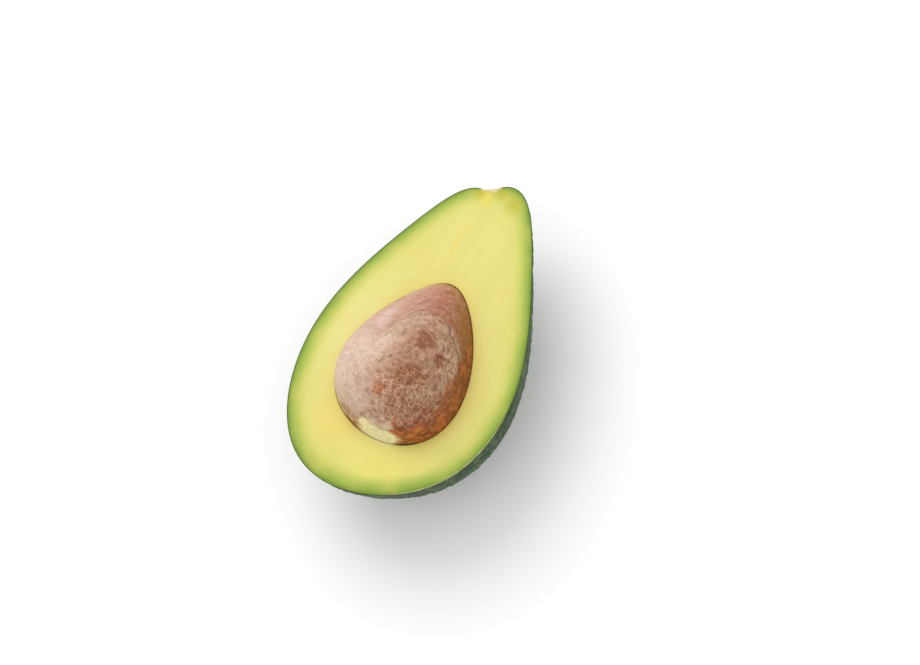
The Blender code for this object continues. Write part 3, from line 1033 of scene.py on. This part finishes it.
    # Brown streaks of bare coat beside the patch, and painted shade of the gap to the flesh under
    # its -Y end.
    streaks = noise(tree, stretched(tree, loose, (1.0, 0.4, 1.0)), 1.6, 3.0)
    beside = spot(tree, place, (22.3, 9.2, 5.6), (4.5, 6.5, 4.5), 0.5)
    beside = multiply(tree, beside, eased(tree, streaks, 0.40, 0.60, 0.25, 1.0), 0.8)
    colour = blended(tree, beside, colour, (0.300, 0.120, 0.040, 1))
    torn = add(tree, chip, multiply(tree, mottle, 0.5), multiply(tree, net, -0.25), -0.25)
    around = eased(tree, torn, -0.06, 0.34, 0.0, 0.8)
    colour = blended(tree, around, colour, (0.620, 0.440, 0.220, 1))
    colour = blended(tree, eased(tree, torn, 0.22, 0.72), colour, cream)
    painted_gap_shade = spot(tree, place, (21.5, -9.6, 0.2), (3.0, 5.0, 1.2), 0.5)
    colour = blended(tree, multiply(tree, painted_gap_shade, 0.8), colour, (0.090, 0.050, 0.015, 1))
    tree.links.new(colour, shader.inputs["Base Color"])
    dull = multiply(tree, covered, subtract(tree, 1.0, at_tip))
    tree.links.new(eased(tree, dull, 0.0, 1.0, 0.38, 0.55), shader.inputs["Roughness"])
    shader.inputs["Specular IOR Level"].default_value = 0.35
    height = add(
        tree,
        multiply(tree, net, 0.10),
        multiply(tree, mottle, 0.16),
        multiply(tree, creases, -0.14),
    )
    bumped(tree, shader, height, 0.8)
    return material


def make_floor():
    """A white table, which belongs to the stage."""
    mesh = bpy.data.meshes.new("floor")
    made = bmesh.new()
    bmesh.ops.create_grid(made, x_segments=2, y_segments=2, size=FLOOR_HALF_SIZE)
    made.to_mesh(mesh)
    made.free()
    floor = bpy.data.objects.new("floor", mesh)
    bpy.context.scene.collection.objects.link(floor)
    material, _, shader, _ = new_material("floor")
    shader.inputs["Base Color"].default_value = (0.95, 0.95, 0.95, 1.0)
    shader.inputs["Roughness"].default_value = 0.9
    shader.inputs["Specular IOR Level"].default_value = 0.1
    mesh.materials.append(material)


def make_light():
    """A round lamp that shines on the sight point."""
    lamp = bpy.data.lights.new("key", "AREA")
    lamp.shape = "DISK"
    lamp.size = KEY_SIZE
    lamp.energy = KEY_POWER
    light = bpy.data.objects.new("key", lamp)
    bpy.context.scene.collection.objects.link(light)
    direction = KEY_DIRECTION.normalized()
    light.location = SIGHT_POINT + KEY_DISTANCE * direction
    light.rotation_mode = "QUATERNION"
    light.rotation_quaternion = direction.to_track_quat("Z", "Y")


def make_camera():
    """A camera that sees the sight point at the photograph's pixel."""
    data = bpy.data.cameras.new("camera")
    data.sensor_width = SENSOR_WIDTH
    data.lens = SENSOR_WIDTH * CAMERA_DISTANCE / (IMAGE_WIDTH * MM_PER_PIXEL * MM)
    data.clip_start = CLIP_NEAR
    data.clip_end = CLIP_FAR
    camera = bpy.data.objects.new("camera", data)
    bpy.context.scene.collection.objects.link(camera)
    right_by = (IMAGE_CENTRE[0] - SIGHT_PIXEL[0]) * MM_PER_PIXEL * MM
    up_by = (SIGHT_PIXEL[1] - IMAGE_CENTRE[1]) * MM_PER_PIXEL * MM
    place = SIGHT_POINT + right_by * PICTURE_RIGHT + up_by * PICTURE_UP
    place += CAMERA_DISTANCE * TO_CAMERA
    turn = Matrix((PICTURE_RIGHT, PICTURE_UP, TO_CAMERA)).transposed().to_4x4()
    camera.matrix_world = Matrix.Translation(place) @ turn
    bpy.context.scene.camera = camera


def make_world():
    """Even white light from all around."""
    world = bpy.data.worlds.new("studio")
    world.use_nodes = True
    background = world.node_tree.nodes["Background"]
    background.inputs["Color"].default_value = (1.0, 1.0, 1.0, 1.0)
    background.inputs["Strength"].default_value = WORLD_STRENGTH
    bpy.context.scene.world = world
    bpy.context.scene.view_settings.view_transform = "Standard"


def hand_over(piece, node, material):
    """Gives the piece its material, hangs it under the root, and hides the solid model's piece of
    that name.
    """
    piece.data.materials.clear()
    piece.data.materials.append(material)
    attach(piece, "root")
    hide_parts(node)


make_camera()
make_world()
make_floor()
make_light()

skin, skin_edge, skin_ring = make_skin()
hand_over(skin, "skin", skin_material())
hand_over(make_flesh(skin_edge, skin_ring), "flesh", flesh_material())
hand_over(make_seed(), "seed", seed_material())
